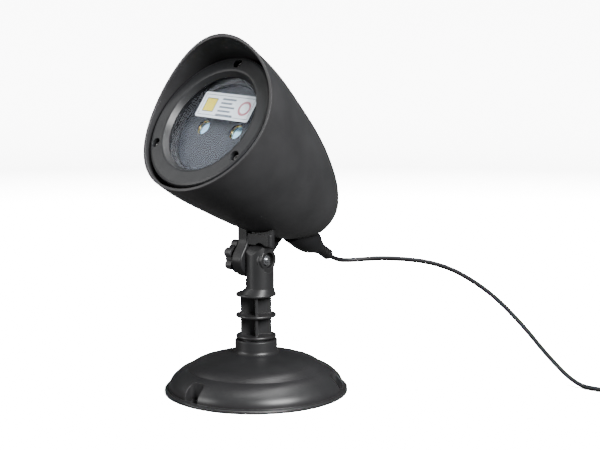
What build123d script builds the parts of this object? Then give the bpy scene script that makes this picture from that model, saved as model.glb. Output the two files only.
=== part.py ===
"""Garden light projector: a bullet-shaped head on a clamped tilting knuckle and a round base, mm, +Z up.

The origin is the centre of the base's underside. The head aims towards -Y and tilts about a bolt along X.
The optical frame has its origin at the bezel's outer edge plane: local z runs forward along the beam, local y
up across the head, and local x along +X.
"""
from build123d import *
from math import cos, pi, radians, sin, sqrt, tan
import os

# ---- base dish ----
BASE_R = 70.0  # outer radius of the rim
RIM_H = 2.6  # thickness of the flat rim
RIM_EDGE = 1.0  # rounding of the rim's top edge
BASE_WALL = 2.6
SKIRT = ((66.6, 2.4), (65.4, 8.3), (62.0, 12.3), (57.5, 15.6), (53.4, 17.3))  # radius and height
SHOULDER = ((51.9, 17.8), (49.6, 20.0), (46.6, 21.9), (43.6, 23.0))  # steep band round the inner dome
DOME = ((43.6, 23.0), (34.0, 25.9), (25.0, 28.1), (16.0, 29.6))
COLLAR_R = 16.2
COLLAR_TOP = 39.6
COLLAR_FOOT = 2.8  # radius of the fillet round the collar's foot
SOCKET_R = 12.6  # bore of the collar, which the post's spigot fills
SOCKET_FLOOR = 16.0
SOCKET_BASE = 13.0
RIBS = 6
RIB_T = 2.0
RIB_CLEAR = 6.0  # the ribs stop this far above the ground
NOTCHES = 3
NOTCH_W = 13.6
NOTCH_END = 57.8  # radius of the notches' inner end
NOTCH_CORNER = 4.0
NOTCH_WALL = 2.0
FIX_CIRCLE_R = 62.5  # radius of the fixing holes' circle
FIX_HOLE_R = 2.3  # for 4 mm wood screws or ground pegs
BASE_TURN = -2.8  # degrees that the base is pushed on off the aim
POST_SCREW_R = 2.05
POST_SCREW_L = 22.0
POST_WASHER_R = 6.5
POST_WASHER_T = 1.2

# ---- post ----
HEAD_X = 3.0  # the head stands off the base's centre, so that the lapped joint is centred
FLANGE_R = 15.4
FLANGE_T = 2.2
FLANGE_Z = (42.0, 58.0, 74.0)  # middles of the three flanges
FLANGE_EDGE = 0.9
WEB_R = 11.8
WEB_T = 1.8
TUBE_R = 10.8
TUBE_X = 4.0
FLARE_H = 4.2  # height of the tube's flared foot
HINGE_Z = 101.0
KNUCKLE_R = 11.6
LAP_X = -0.9  # flat of the half-lapped knuckle
LAP_Z = 85.8  # foot of that flat
BOSS_R = 8.4
BOSS_X = 13.4  # face of the nut boss
BOSS_FOOT_R = 9.4
BOSS_WELL_R = 5.9  # round well that the nut sits in
BOSS_WELL_X = 9.4

# ---- clamp bolt, nut, washers and knob ----
BOLT_R = 2.0
BOLT_FIT = 0.06  # radial clearance of the bolt in its holes
BOLT_END = 12.4
NUT_FLATS = 7.0
NUT_T = 3.2
NUT_OUT = 11.0  # outer face of the nut
HEX_FIT = 0.15  # clearance of a hexagon in its pocket, each side
WASHER_T = 1.0
WASHER_R = 9.0
PLAY = 0.1  # between flat faces that turn on each other
EAR_IN = LAP_X - WASHER_T - PLAY
EAR_T = 10.0
EAR_OUT = EAR_IN - EAR_T
EAR_R = 14.5
KNOB_IN = EAR_OUT - WASHER_T - 2 * PLAY
KNOB_T = 9.0
KNOB_STAR_T = 7.0
KNOB_R = 13.3
KNOB_LOBES = 6
LOBE_R = 3.9
HUB_R = 6.8
LOBE_HOLLOW_R = 1.9
BOLT_HEAD_T = 3.0
BOLT_HEAD_SUNK = 2.4

# ---- arm ----
NECK_FRONT = -7.5  # front of the neck under the shell
NECK_TOP = 150.0  # the arm is drawn up to here, then trimmed to the shell
NECK_BACK_SLOPE = 43.0  # degrees, the back edge's lean
NECK_BACK_RUN = 60.0
NECK_BEND = ((NECK_FRONT, 116.5), (-10.6, 108.6))  # y and z where the neck widens towards the ear
EAR_MEET = 8.0  # degrees below the hinge's level where that bend meets the round ear
EAR_EDGE = 1.3
BLOCK_FRONT = -6.4  # the block that carries the shell stands a little behind the ear's front
BLOCK_BACK = -1.4
BLOCK_END = 20.3
BLOCK_LOW = 112.5
BLOCK_TOP = 120.8
GROOVE = 2.6  # depth of the shadow groove between the block and the shell
BLOCK_CORNER = 3.2
SADDLE_R = 12.3  # clears the knuckle
SCALLOP = (9.9, 107.4, 7.0)  # shallow arc in the block's lower edge: x, z and radius
PAD = ((-4.0, -1.5), (13.4, -1.5), (6.9, 8.5), (-4.0, 8.5))  # plan of the pad behind the block
ARM_SCREW_X = (-7.5, 3.0)  # in the optical frame
ARM_SCREW_Z = -92.0
ARM_SCREW_WALL = 41.4  # radius of the shell's inner wall there
ARM_SCREW_LEAN = 16.0
ARM_SCREW_R = 1.25
ARM_SCREW_L = 6.6
ARM_SCREW_HEAD = (3.2, 2.0)  # radius and height

# ---- head ----
AIM = 33.0  # degrees above level at rest
HEAD_AT = (HEAD_X, -51.0, 206.4)  # centre of the bezel's outer edge plane
SHELL_R = 58.4
SHELL_WALL = 2.0
SHELL_OUTLINE = ((-8, 58.2), (-42, 53.9), (-74, 48.2), (-100, 41.0), (-118, 34.2), (-130, 28.0))
SHELL_REAR = -140.5
SHELL_REAR_R = 15.0
VISOR_RIM = ((-70, 2.0), (-32, 2.1), (0, 3.6), (29, 9.4), (43, 14.6), (60, 24.2))  # local y, z
BEZEL_R = 53.4
BEZEL_CREST_R = 41.9
BEZEL_CREST_Z = 1.3
WINDOW_R = 38.6
BEZEL_DEPTH = 9.0
BEZEL_SEAT = -6.7  # back of the bezel's ring, on the lamp housing
BEZEL_SCREWS = 3
BEZEL_SCREW_R = 48.0  # radius of the bezel screws' circle
BEZEL_RECESS = (3.7, -3.4)  # radius and floor of the screws' recesses
BEZEL_HEAD = (2.8, 1.7)  # radius and height of the screws' heads
WINDOW_TURN = -5.0  # degrees, the bezel and plate sit turned in the shell
GLASS_R = 43.0
GLASS_Z = -3.6
GLASS_T = 3.0
CAN_R = 48.0
CAN_WALL = 2.4
CAN_REAR = -84.0
PLATE_Z = -12.4
PLATE_T = 1.6
PLATE_R = 36.5
SHADE_R = 36.7  # the black wall that the plate stands in
LASER_X = 17.0
APERTURE_R = 6.0
BARREL_R = 7.6
LENS_R = 5.5  # also the patterned film's radius
BARREL_L = 34.0
LENS_CURVE_R = 11.0
STICKER = (55.0, 21.0)  # printed film on the back of the glass
STICKER_AT = (2.5, 15.8)
SINK = (58.0, 24.0, 14.0)
SINK_BACK = 18.0  # from the front plate's back to the middle of the heat sink
SINK_SLOTS = (-11.0, -8.0, 8.0, 11.0)
GRUB_R = 1.4
BOARD = (62.0, 44.0, 1.6)
BOARD_Z = -64.0
PILLAR_PITCH = (52.0, 34.0)
CHIPS = (  # x, y, width, depth and height
    (-6, 2, 9, 9, 2.0), (12, 10, 6, 5, 1.6), (14, -10, 12, 7, 3.0), (-20, -9, 5, 4, 1.5),
)
CAPACITORS = ((3.0, 6.5, -17, 11), (2.4, 5.0, 2, -13))  # radius, height, x and y

# ---- cable outlet and cord ----
OUTLET_Y = -20.2  # local y and z of the boot's far end
OUTLET_Z = -173.6
OUTLET_RISE = 3.0  # degrees between the outlet's axis and the head's
OUTLET_R = 11.3
OUTLET_NECK_R = 5.9
OUTLET_L = 50.0  # from the boot's far end to the housing's front
BOOT_R = 4.6
BOOT_L = 17.0
CORD_D = 3.8
CORD_LENGTH = 3000.0
COIL_AT = (240.0, 192.0)
COIL_MID_R = 22.8
COIL_W = 19.8
COIL_H = 16.4
RUN_END_X = 206.0  # the tilting head carries the cord up to here
CORD_Y = 162.0
CORD_Z = 2.0  # centre height of the cord where it lies on the ground
CORD_RUN = (
    (8.0, 109.5, 87.9), (30.0, 128.5, 90.2), (68.0, 151.5, 86.5), (104.0, 163.0, 67.5), (133.0, 167.0, 43.5),
    (160.0, 165.5, 19.0), (186.0, CORD_Y, CORD_Z), (RUN_END_X, CORD_Y, CORD_Z),
)
BEND_SHARE = 0.45  # part of the shorter run that a bend may use
PLUG_AT = (COIL_AT[0] + 21.0, COIL_AT[1] - 14.0, COIL_H + 5.2)  # tail of the plug, lying on the coil

PARTS = {}
HINGE = (0.0, HINGE_Z)  # y and z of the tilt bolt
OPTICS = Plane(origin=HEAD_AT, x_dir=(1, 0, 0), z_dir=(0, -cos(radians(AIM)), sin(radians(AIM)))).location
TURNED = OPTICS * Rotation(0, 0, WINDOW_TURN)
OUTLET = Pos(0, OUTLET_Y, OUTLET_Z) * Rotation(OUTLET_RISE, 0, 0)  # in the optical frame


def keep(name, shape):
    """Stores a named sub-part."""
    PARTS[name] = shape


def revolved(points):
    """Solid of revolution about Z from (radius, z) points that start and end on the axis."""
    return revolve(Plane.XZ * make_face(Polyline(*points, close=True)), Axis.Z)


def rod(radius, low, high, x=0.0, y=0.0):
    """Upright cylinder between two heights."""
    return Pos(x, y, (low + high) / 2) * Cylinder(radius, high - low)


def cross_rod(radius, x_low, x_high, y=HINGE[0], z=HINGE[1]):
    """Cylinder along X between two x values."""
    return Pos((x_low + x_high) / 2, y, z) * Rotation(0, 90, 0) * Cylinder(radius, x_high - x_low)


def ring_of(shape, count, radius, start=0.0):
    """Copies of a shape round Z, the first one towards -Y."""
    return [Rotation(0, 0, start + 360 / count * k) * Pos(0, -radius, 0) * shape for k in range(count)]


def hexagon(flats, x_low, x_high):
    """Hexagonal prism along the tilt bolt."""
    face = RegularPolygon(flats / 2, 6, major_radius=False)
    prism = extrude(face, x_high - x_low)
    return Pos(x_low, *HINGE) * Rotation(0, 90, 0) * prism


# ================= base =================

def dish_outline(inset):
    """Solid under the dish's top surface, drawn in by inset, down to below the ground."""
    def drop(points):
        return [(r - 0.6 * inset, z - inset) for r, z in points]
    with BuildLine() as line:
        skirt = Spline(*drop(SKIRT))
        shoulder = Spline(*drop(SHOULDER))
        dome = Spline(*drop(DOME))
        Line(skirt @ 1, shoulder @ 0)
        Polyline(dome @ 1, (0, DOME[-1][1] - inset), (0, -1), ((skirt @ 0).X, -1), skirt @ 0)
    return revolve(Plane.XZ * make_face(line.line), Axis.Z)


def notch_plan(grown, height):
    """A notch's outline seen from above, towards -Y, as a prism that stands on the ground."""
    half = NOTCH_W / 2 + grown
    end = NOTCH_END - grown
    plan = Pos(0, -(end + BASE_R + 4) / 2) * Rectangle(2 * half, BASE_R + 4 - end)
    plan = fillet(plan.vertices().sort_by(Axis.Y)[-2:], NOTCH_CORNER + grown)
    return extrude(plan, height)


def base_dish():
    rim = rod(BASE_R, 0, RIM_H)
    rim = fillet(rim.edges().sort_by(Axis.Z)[-1], RIM_EDGE)
    outside = dish_outline(0) & rod(BASE_R, 0, COLLAR_TOP)
    inside = dish_outline(BASE_WALL)
    collar = rod(COLLAR_R, SOCKET_BASE, COLLAR_TOP)
    collar = chamfer(collar.edges().sort_by(Axis.Z)[-1], 0.6)
    low, wide = DOME[-1][1] - 0.5, COLLAR_R + COLLAR_FOOT
    with BuildLine() as line:
        arc = RadiusArc((wide, low), (COLLAR_R, low + COLLAR_FOOT), COLLAR_FOOT)
        Polyline(arc @ 1, (0, low + COLLAR_FOOT), (0, low - 0.4), (wide, low - 0.4), arc @ 0)
    foot = revolve(Plane.XZ * make_face(line.line), Axis.Z)
    dish = rim + outside - inside + collar + foot
    reach = SHOULDER[0][0]
    for rib in range(RIBS):  # stiffening ribs under the dome, from the socket to the shoulder
        blade = Pos((COLLAR_R + reach) / 2 - 1, 0, COLLAR_R) * Box(reach - COLLAR_R, RIB_T, 2 * COLLAR_R)
        blade = Rotation(0, 0, 180 / RIBS + 360 / RIBS * rib) * blade
        dish += blade & dish_outline(RIB_T / 4) & rod(reach, RIB_CLEAR, COLLAR_TOP)
    for k in range(NOTCHES):
        turn = Rotation(0, 0, 360 / NOTCHES * k)
        cup = turn * notch_plan(NOTCH_WALL, COLLAR_TOP)
        void = turn * Pos(0, 0, RIM_H) * notch_plan(0, COLLAR_TOP)
        dish += cup & outside
        dish -= void
        dish += cup & rod(BASE_R - RIM_EDGE, 0, RIM_H)
    dish -= rod(SOCKET_R, SOCKET_FLOOR, COLLAR_TOP + 1)
    dish -= rod(POST_SCREW_R + 0.6, 0, SOCKET_FLOOR + 1)
    for hole in ring_of(rod(FIX_HOLE_R, -1, RIM_H + 1), NOTCHES, FIX_CIRCLE_R):
        dish -= hole
    return Rotation(0, 0, BASE_TURN) * dish


def post():
    body = rod(SOCKET_R - 0.05, SOCKET_FLOOR, FLANGE_Z[0])
    for z in FLANGE_Z:
        disc = rod(FLANGE_R, z - FLANGE_T / 2, z + FLANGE_T / 2)
        body += fillet(disc.edges().filter_by(GeomType.CIRCLE), FLANGE_EDGE)
    for turn in (45, 135):
        rib = Pos(0, 0, (FLANGE_Z[0] + FLANGE_Z[2]) / 2) * Box(2 * WEB_R, WEB_T, FLANGE_Z[2] - FLANGE_Z[0])
        body += Rotation(0, 0, turn) * rib
    foot = FLANGE_Z[2] + FLANGE_T / 2
    knuckle = rod(FLANGE_R, 0, HINGE_Z) + cross_rod(KNUCKLE_R, -FLANGE_R, FLANGE_R)
    body += rod(TUBE_R, FLANGE_Z[2], HINGE_Z + KNUCKLE_R, TUBE_X) & knuckle
    skirt = Pos(TUBE_X - 2.4, 0, foot - 0.3) * Circle(FLANGE_R - 1.6)
    body += loft([skirt.face(), (Pos(TUBE_X, 0, foot + FLARE_H) * Circle(TUBE_R)).face()])
    body -= cross_rod(BOSS_FOOT_R, BOSS_X, BOSS_X + TUBE_R)
    boss = cross_rod(BOSS_R, TUBE_X, BOSS_X)
    body += fillet(boss.edges().sort_by(Axis.X)[-1], 0.7)
    body += cross_rod(BOSS_FOOT_R, TUBE_X, BOSS_X - 2.6)
    body -= Pos(LAP_X - FLANGE_R, 0, LAP_Z + FLANGE_R) * Box(2 * FLANGE_R, 2 * FLANGE_R, 2 * FLANGE_R)
    body -= cross_rod(BOSS_WELL_R, BOSS_WELL_X, BOSS_X + 1)
    body -= hexagon(NUT_FLATS + 2 * HEX_FIT, NUT_OUT - NUT_T, NUT_OUT)
    body -= cross_rod(BOLT_R + BOLT_FIT, EAR_OUT, BOSS_X)
    return body - rod(POST_SCREW_R + 0.05, 0, SOCKET_BASE + POST_SCREW_L - 1)


def screw(shank_r, length, head_r, head_h):
    """Cross-slotted pan-head screw along Z: the head's underside is at 0, and the shank runs down."""
    head = fillet(rod(head_r, 0, head_h).edges().sort_by(Axis.Z)[-1], head_h * 0.55)
    body = head + rod(shank_r, -length, 0.01)
    for turn in (0, 90):
        body -= Pos(0, 0, head_h) * Rotation(0, 0, turn) * Box(head_r * 1.1, head_r * 0.28, head_h)
    return body


def base_group():
    keep("base_dish", base_dish())
    keep("post", post())
    under = SOCKET_BASE - POST_WASHER_T
    keep("post_screw", Pos(0, 0, under) * Rotation(180, 0, 0) * screw(POST_SCREW_R, POST_SCREW_L, 4.6, 2.8))
    washer = rod(POST_WASHER_R, under, SOCKET_BASE)
    keep("post_washer", washer - rod(POST_SCREW_R + 0.15, under - 1, SOCKET_BASE + 1))
    nut = hexagon(NUT_FLATS, NUT_OUT - NUT_T, NUT_OUT)
    nut &= cross_rod(NUT_FLATS * 0.56, NUT_OUT - NUT_T, NUT_OUT)
    keep("clamp_nut", nut - cross_rod(BOLT_R + BOLT_FIT, 0, NUT_OUT + 1))
    disc = cross_rod(WASHER_R, LAP_X - WASHER_T, LAP_X)
    keep("friction_washer", disc - cross_rod(BOLT_R + BOLT_FIT, LAP_X - 2, LAP_X + 1))


# ================= knob =================

def knob_group():
    outer = KNOB_IN - KNOB_T
    lobes = [Rotation(0, 0, 360 / KNOB_LOBES * k) * Pos(KNOB_R - LOBE_R, 0) for k in range(KNOB_LOBES)]
    face = Circle(KNOB_R - LOBE_R + 1.2)
    for lobe in lobes:
        face += lobe * Circle(LOBE_R)
    star = extrude(face, KNOB_STAR_T)
    star = fillet(star.edges().group_by(Axis.Z)[0], 1.0)
    knob = star + rod(HUB_R, 0, KNOB_T)
    for lobe in lobes:  # hollows in the lobes' inner side
        knob -= lobe * rod(LOBE_HOLLOW_R, 3.0, KNOB_STAR_T + 1)
    knob = Pos(outer, *HINGE) * Rotation(0, 90, 0) * Rotation(0, 0, 6) * knob
    head_x = outer + BOLT_HEAD_SUNK
    knob -= hexagon(NUT_FLATS, outer - 1, head_x + BOLT_HEAD_T)
    knob -= cross_rod(BOLT_R, head_x, KNOB_IN + 1)
    keep("clamp_knob", knob)
    bolt = hexagon(NUT_FLATS, head_x, head_x + BOLT_HEAD_T) + cross_rod(BOLT_R, head_x + 1, BOLT_END)
    keep("clamp_bolt", chamfer(bolt.edges().sort_by(Axis.X)[-1], 0.5))
    low = KNOB_IN + PLAY / 5
    washer = cross_rod(WASHER_R * 0.72, low, low + WASHER_T)
    keep("knob_washer", washer - cross_rod(BOLT_R, low - 1, low + WASHER_T + 1))


# ================= head =================

def bullet(inset, front=40.0):
    """Solid of the bullet-shaped shell, drawn in by inset all over."""
    with BuildLine() as line:
        flank = Spline(
            (SHELL_R - inset, 14.0),
            *[(r - inset, z) for z, r in SHELL_OUTLINE],
            tangents=((0, -1), (-0.62, -1)),
        )
        end_z = SHELL_REAR + inset
        tail = Spline(flank @ 1, (SHELL_REAR_R - inset, end_z), tangents=(flank % 1, (-1, 0)))
        Polyline(tail @ 1, (0, end_z), (0, front), (SHELL_R - inset, front), flank @ 0)
    return revolve(Plane.XZ * make_face(line.line), Axis.Z)


def visor_cut():
    """Everything in front of the shell's rim, which reaches forward at the top as a visor."""
    with BuildLine() as line:
        rim = Spline(*VISOR_RIM)
        Polyline(rim @ 1, (70, 60), (-70, 60), rim @ 0)
    return extrude(Plane.YZ * make_face(line.line), 80, both=True)


def outlet_shapes():
    """The cable outlet's housing, its ribbed boot and the cord's bore, in the optical frame."""
    back = BOOT_L - 1.0
    with BuildLine() as line:
        side = Spline(
            (OUTLET_NECK_R, back + 1.4), (9.4, back + 9.0), (OUTLET_R, back + 21.0),
            tangents=((0.5, 1), (0, 1)),
        )
        Polyline(side @ 1, (OUTLET_R, OUTLET_L), (0, OUTLET_L), (0, back), (OUTLET_NECK_R, back), side @ 0)
    bore = OUTLET * rod(CORD_D / 2 + 0.6, 0, 90)
    housing = OUTLET * revolve(Plane.XZ * make_face(line.line), Axis.Z)
    housing = housing - bore - OUTLET * rod(BOOT_R + 0.02, 0, back + 3.0) - bullet(-0.05)
    boot = rod(BOOT_R, 0, back + 3.0)
    boot = fillet(boot.edges().sort_by(Axis.Z)[0], 1.0)
    for k in range(4):
        z = 2.6 + 3.1 * k
        boot -= rod(BOOT_R + 1, z, z + 1.3) - rod(BOOT_R - 1.1, z, z + 1.3)
    return housing, OUTLET * (boot - rod(CORD_D / 2 + 0.02, -1, 40)), bore


def arm_screw_places():
    """Places of the arm screws' heads on the shell's inner wall, z pointing out through the wall."""
    turn = Rotation(90 + ARM_SCREW_LEAN, 0, 0)
    return [Pos(x, -sqrt(ARM_SCREW_WALL**2 - x**2), ARM_SCREW_Z) * turn for x in ARM_SCREW_X]


def shell_group():
    housing, boot, bore = outlet_shapes()
    shell = bullet(0) - bullet(SHELL_WALL) - visor_cut() - bore
    for place in arm_screw_places():
        shell -= place * rod(ARM_SCREW_R + 0.5, -3, 6)
        shell -= place * rod(ARM_SCREW_HEAD[0] + 0.6, -3, 0)
    keep("shell", OPTICS * shell)
    keep("cable_outlet", OPTICS * housing)
    keep("cord_boot", OPTICS * boot)
    grommet = rod(CORD_D / 2 + 0.55, 44.0, 62.0) + rod(4.6, 56.0, 58.0) - rod(CORD_D / 2 + 0.1, 0, 90)
    keep("outlet_grommet", OPTICS * OUTLET * grommet)
    shank = Rotation(180, 0, 0) * screw(ARM_SCREW_R, ARM_SCREW_L, *ARM_SCREW_HEAD)
    keep("arm_screws", OPTICS * Compound(children=[place * shank for place in arm_screw_places()]))


def ear():
    """The arm's upright plate beside the knuckle, round below and leaning back above."""
    slope = radians(NECK_BACK_SLOPE)
    meet = radians(EAR_MEET)
    front = (-EAR_R * cos(meet), HINGE_Z - EAR_R * sin(meet))
    back = (EAR_R * sin(slope), HINGE_Z - EAR_R * cos(slope))
    reach = (back[0] + NECK_BACK_RUN * cos(slope), back[1] + NECK_BACK_RUN * sin(slope))
    with BuildLine() as line:
        bend = Spline(*NECK_BEND, front, tangents=((0, -1), (sin(meet), -cos(meet))))
        ThreePointArc(front, (0, HINGE_Z - EAR_R), back)
        Polyline(back, reach, (reach[0], NECK_TOP), (NECK_FRONT, NECK_TOP), bend @ 0)
    plate = Pos(EAR_OUT, 0, 0) * extrude(Plane.YZ * make_face(line.line), EAR_T)
    faces = plate.edges().group_by(Axis.X)
    return fillet(faces[0] + faces[-1], EAR_EDGE)


def arm():
    """Bracket arm: the ear, the block beside it that carries the shell, and a pad behind the block."""
    side = make_face(Polyline(
        (BLOCK_FRONT, BLOCK_LOW), (BLOCK_FRONT, BLOCK_TOP), (BLOCK_FRONT + GROOVE, BLOCK_TOP),
        (BLOCK_FRONT + GROOVE, NECK_TOP), (BLOCK_BACK, NECK_TOP), (BLOCK_BACK, BLOCK_LOW), close=True,
    ))
    start = EAR_IN - EAR_EDGE - 0.6
    block = Pos(start, 0, 0) * extrude(Plane.YZ * side, BLOCK_END - start)
    ends = block.edges().filter_by(Axis.Z).group_by(Axis.X)[-1]
    block = fillet(ends.sort_by(Axis.Y)[0], BLOCK_CORNER)
    block -= Pos(SCALLOP[0], 0, SCALLOP[1]) * Rotation(90, 0, 0) * Cylinder(SCALLOP[2], 40)
    pad = Pos(0, 0, BLOCK_LOW) * extrude(make_face(Polyline(*PAD, close=True)), NECK_TOP - BLOCK_LOW)
    body = ear() + block + pad - OPTICS * bullet(-0.05)
    body &= Pos(0, 15, 110) * Box(60, 90, 60)
    body -= cross_rod(SADDLE_R, EAR_IN, BLOCK_END + 1)
    body -= cross_rod(BOLT_R + BOLT_FIT, EAR_OUT - 1, EAR_IN + 1)
    for place in arm_screw_places():
        body -= OPTICS * place * rod(ARM_SCREW_R, 0, ARM_SCREW_L + 0.6)
    return max(body.solids(), key=lambda s: s.volume)


def bezel():
    ring = revolved((
        (WINDOW_R, GLASS_Z), (WINDOW_R, GLASS_Z + 1.0), (BEZEL_CREST_R - 0.6, BEZEL_CREST_Z - 0.3),
        (BEZEL_CREST_R + 0.8, BEZEL_CREST_Z), (BEZEL_R - 2.2, 0.9), (BEZEL_R - 0.6, 0.5), (BEZEL_R, -0.6),
        (BEZEL_R, -BEZEL_DEPTH), (BEZEL_R - 2.0, -BEZEL_DEPTH), (BEZEL_R - 2.0, BEZEL_SEAT),
        (GLASS_R + 0.2, BEZEL_SEAT), (GLASS_R + 0.2, GLASS_Z),
    ))
    radius, floor = BEZEL_RECESS
    drill = rod(radius, floor, 5) + rod(2.1, -20, 5)
    for hole in ring_of(drill, BEZEL_SCREWS, BEZEL_SCREW_R, 180):
        ring -= hole
    return ring


def can():
    """The inner housing that holds the optics, open at the front under the bezel."""
    outer = revolved((
        (0, -6.8), (51.2, -6.8), (51.2, -10.5), (CAN_R, -13.5), (CAN_R, -38), (CAN_R - 9, CAN_REAR),
        (0, CAN_REAR),
    ))
    bore, back = CAN_R - CAN_WALL, PLATE_Z - PLATE_T
    inner = revolved((
        (0, 0), (GLASS_R - 2.5, 0), (GLASS_R - 2.5, -7.6), (SHADE_R, -9.6), (SHADE_R, back), (bore, back),
        (bore, -38), (bore - 9, CAN_REAR + CAN_WALL), (0, CAN_REAR + CAN_WALL),
    ))
    shape = outer - inner
    for boss in ring_of(rod(2.9, -22, -6.8), BEZEL_SCREWS, BEZEL_SCREW_R, 180):
        shape += boss
    for hole in ring_of(rod(1.6, -21, 5), BEZEL_SCREWS, BEZEL_SCREW_R, 180):
        shape -= hole
    return shape - rod(3.2, CAN_REAR - 3, CAN_REAR + 6, y=-20)


def laser(name, x, front):
    """One laser module behind the front plate: barrel, lens, patterned film and diode."""
    barrel = rod(BARREL_R, front - BARREL_L, front, x) - rod(LENS_R + 0.05, front - 12, front, x)
    barrel -= rod(2.9, front - BARREL_L, front - 11, x)
    keep(f"laser_barrel_{name}", TURNED * barrel)
    dome = Pos(x, 0, front - 3.2 - LENS_CURVE_R) * Sphere(LENS_CURVE_R)
    keep(f"laser_lens_{name}", TURNED * (rod(LENS_R, front - 5.6, front - 3.2, x) & dome))
    keep(f"grating_{name}", TURNED * rod(LENS_R, front - 1.4, front - 0.9, x))
    diode = rod(2.85, front - BARREL_L + 1, front - BARREL_L + 4.6, x)
    for dx, dy in ((-1.2, 0), (1.2, 0), (0, 1.2)):
        diode += rod(0.25, front - BARREL_L - 5, front - BARREL_L + 1.1, x + dx, dy)
    keep(f"laser_diode_{name}", TURNED * diode)


def optics_group():
    keep("bezel", TURNED * bezel())
    heads = ring_of(screw(1.55, 11.0, *BEZEL_HEAD), BEZEL_SCREWS, BEZEL_SCREW_R, 180)
    keep("bezel_screws", TURNED * Pos(0, 0, BEZEL_RECESS[1]) * Compound(children=heads))
    keep("lamp_housing", TURNED * can())
    keep("window", TURNED * rod(GLASS_R, GLASS_Z - GLASS_T, GLASS_Z))
    seal_z = GLASS_Z - GLASS_T
    keep("window_seal", TURNED * (rod(GLASS_R, seal_z - 0.2, seal_z) - rod(GLASS_R - 2.4, -9, 0)))
    plate = rod(PLATE_R, PLATE_Z - PLATE_T, PLATE_Z)
    for x in (-LASER_X, LASER_X):
        plate -= rod(APERTURE_R, -30, 0, x)
    keep("front_plate", TURNED * plate)
    label = Pos(*STICKER_AT, seal_z - 0.1) * Box(*STICKER, 0.2)
    keep("plate_label", TURNED * (label & rod(GLASS_R - 2.7, -30, 0)))
    front = PLATE_Z - PLATE_T
    sink = Pos(0, 0, front - SINK_BACK) * Box(*SINK)
    for y in SINK_SLOTS:
        sink -= Pos(0, y, front - SINK_BACK) * Box(SINK[0] - 2 * BARREL_R - 28, 1.4, 20)
    grubs = []
    for name, x in (("red", -LASER_X), ("green", LASER_X)):
        laser(name, x, front)
        sink -= rod(BARREL_R + 0.02, -80, 0, x)
        side = Pos(x, SINK[1] / 2, front - SINK_BACK) * Rotation(90, 0, 0)
        sink -= side * rod(GRUB_R, -1, SINK[1] / 2 - BARREL_R)
        grubs.append(side * rod(GRUB_R, 0, SINK[1] / 2 - BARREL_R - 0.1))
    keep("heat_sink", TURNED * sink)
    keep("grub_screws", TURNED * Compound(children=grubs))
    board_group()


def board_group():
    """The circuit board behind the lasers, its parts, and the four pillars it stands on."""
    board = Pos(0, 0, BOARD_Z) * Box(*BOARD)
    pillars, screws = [], []
    foot = CAN_REAR + CAN_WALL
    under = BOARD_Z - BOARD[2] / 2
    for x, y in [(sx * PILLAR_PITCH[0] / 2, sy * PILLAR_PITCH[1] / 2) for sx in (-1, 1) for sy in (-1, 1)]:
        board -= rod(1.6, BOARD_Z - 3, BOARD_Z + 3, x, y)
        pillars.append(rod(2.6, foot, under, x, y) - rod(1.2, foot + 4, under, x, y))
        screws.append(Pos(x, y, under + BOARD[2]) * screw(1.2, 7.0, 2.6, 1.6))
    keep("circuit_board", TURNED * board)
    keep("board_pillars", TURNED * Compound(children=pillars))
    keep("board_screws", TURNED * Compound(children=screws))
    face = BOARD_Z + BOARD[2] / 2
    chips = [Pos(x, y, face + h / 2) * Box(w, d, h) for x, y, w, d, h in CHIPS]
    chips += [rod(radius, face, face + h, x, y) for radius, h, x, y in CAPACITORS]
    keep("board_parts", TURNED * Compound(children=chips))


# ================= cord =================

def cord_route():
    """Hand-laid points of the cord's centre line, from the boot's end to the edge of the coiled part."""
    start = OPTICS * OUTLET
    return [tuple(start.position), tuple((start * Pos(0, 0, -11.5)).position), *CORD_RUN]


def bend_radii(points):
    """The largest arc that each inner point's two runs allow."""
    radii = []
    for a, b, c in zip(points, points[1:], points[2:]):
        one, two = Vector(*b) - Vector(*a), Vector(*c) - Vector(*b)
        turn = one.get_angle(two)
        radii.append(BEND_SHARE * min(one.length, two.length) / tan(radians(turn / 2)))
    return radii


def tube(points):
    """Round cord along straight runs joined by tangent arcs, and its length."""
    radii = bend_radii(points)
    path = FilletPolyline(*points, radius=radii)
    section = Plane(origin=points[0], z_dir=Vector(*points[1]) - Vector(*points[0])) * Circle(CORD_D / 2)
    cord = sweep(section, path=path)
    filled = cord.volume / (pi * CORD_D**2 / 4 * path.length)
    print("cord radii", [round(r, 1) for r in radii])
    print("cord tube", round(path.length, 1), "mm, volume ratio", round(filled, 4))
    return cord, path.length


def cord_group():
    cord, length = tube(cord_route())
    keep("cord_run", cord)
    cx, cy = COIL_AT
    out_r, in_r = COIL_MID_R + COIL_W / 2, COIL_MID_R - COIL_W / 2
    coil = rod(out_r, 0, COIL_H, cx, cy) - rod(in_r, -1, COIL_H + 1, cx, cy)
    keep("cord_coil", fillet(coil.edges().filter_by(GeomType.CIRCLE), 4.0))
    lead = cross_rod(CORD_D / 2, RUN_END_X + 0.05, cx, CORD_Y, CORD_Z) - rod(out_r, -1, COIL_H + 1, cx, cy)
    keep("cord_lead", max(lead.solids(), key=lambda s: s.volume))
    turns = (CORD_LENGTH - length - (cx - RUN_END_X)) / (2 * pi * COIL_MID_R)
    print("coiled turns", round(turns, 2))


def plug_group():
    """The plug at the cord's end: a ribbed grip and a hollow metal barrel."""
    grip = revolved(((0, 0), (2.9, 0), (3.5, 9), (4.9, 13), (5.2, 17), (5.2, 33), (4.4, 35), (0, 35)))
    for k in range(6):
        grip -= Rotation(0, 0, 60 * k) * Pos(5.9, 0, 24) * Box(1.6, 1.6, 12)
    lie = Pos(*PLUG_AT) * Rotation(-90, 0, 0)
    keep("plug_body", lie * (grip - rod(2.75, 30, 40)))
    keep("plug_barrel", lie * (rod(2.75, 30, 44.5) - rod(1.05, 34, 50)))


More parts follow.
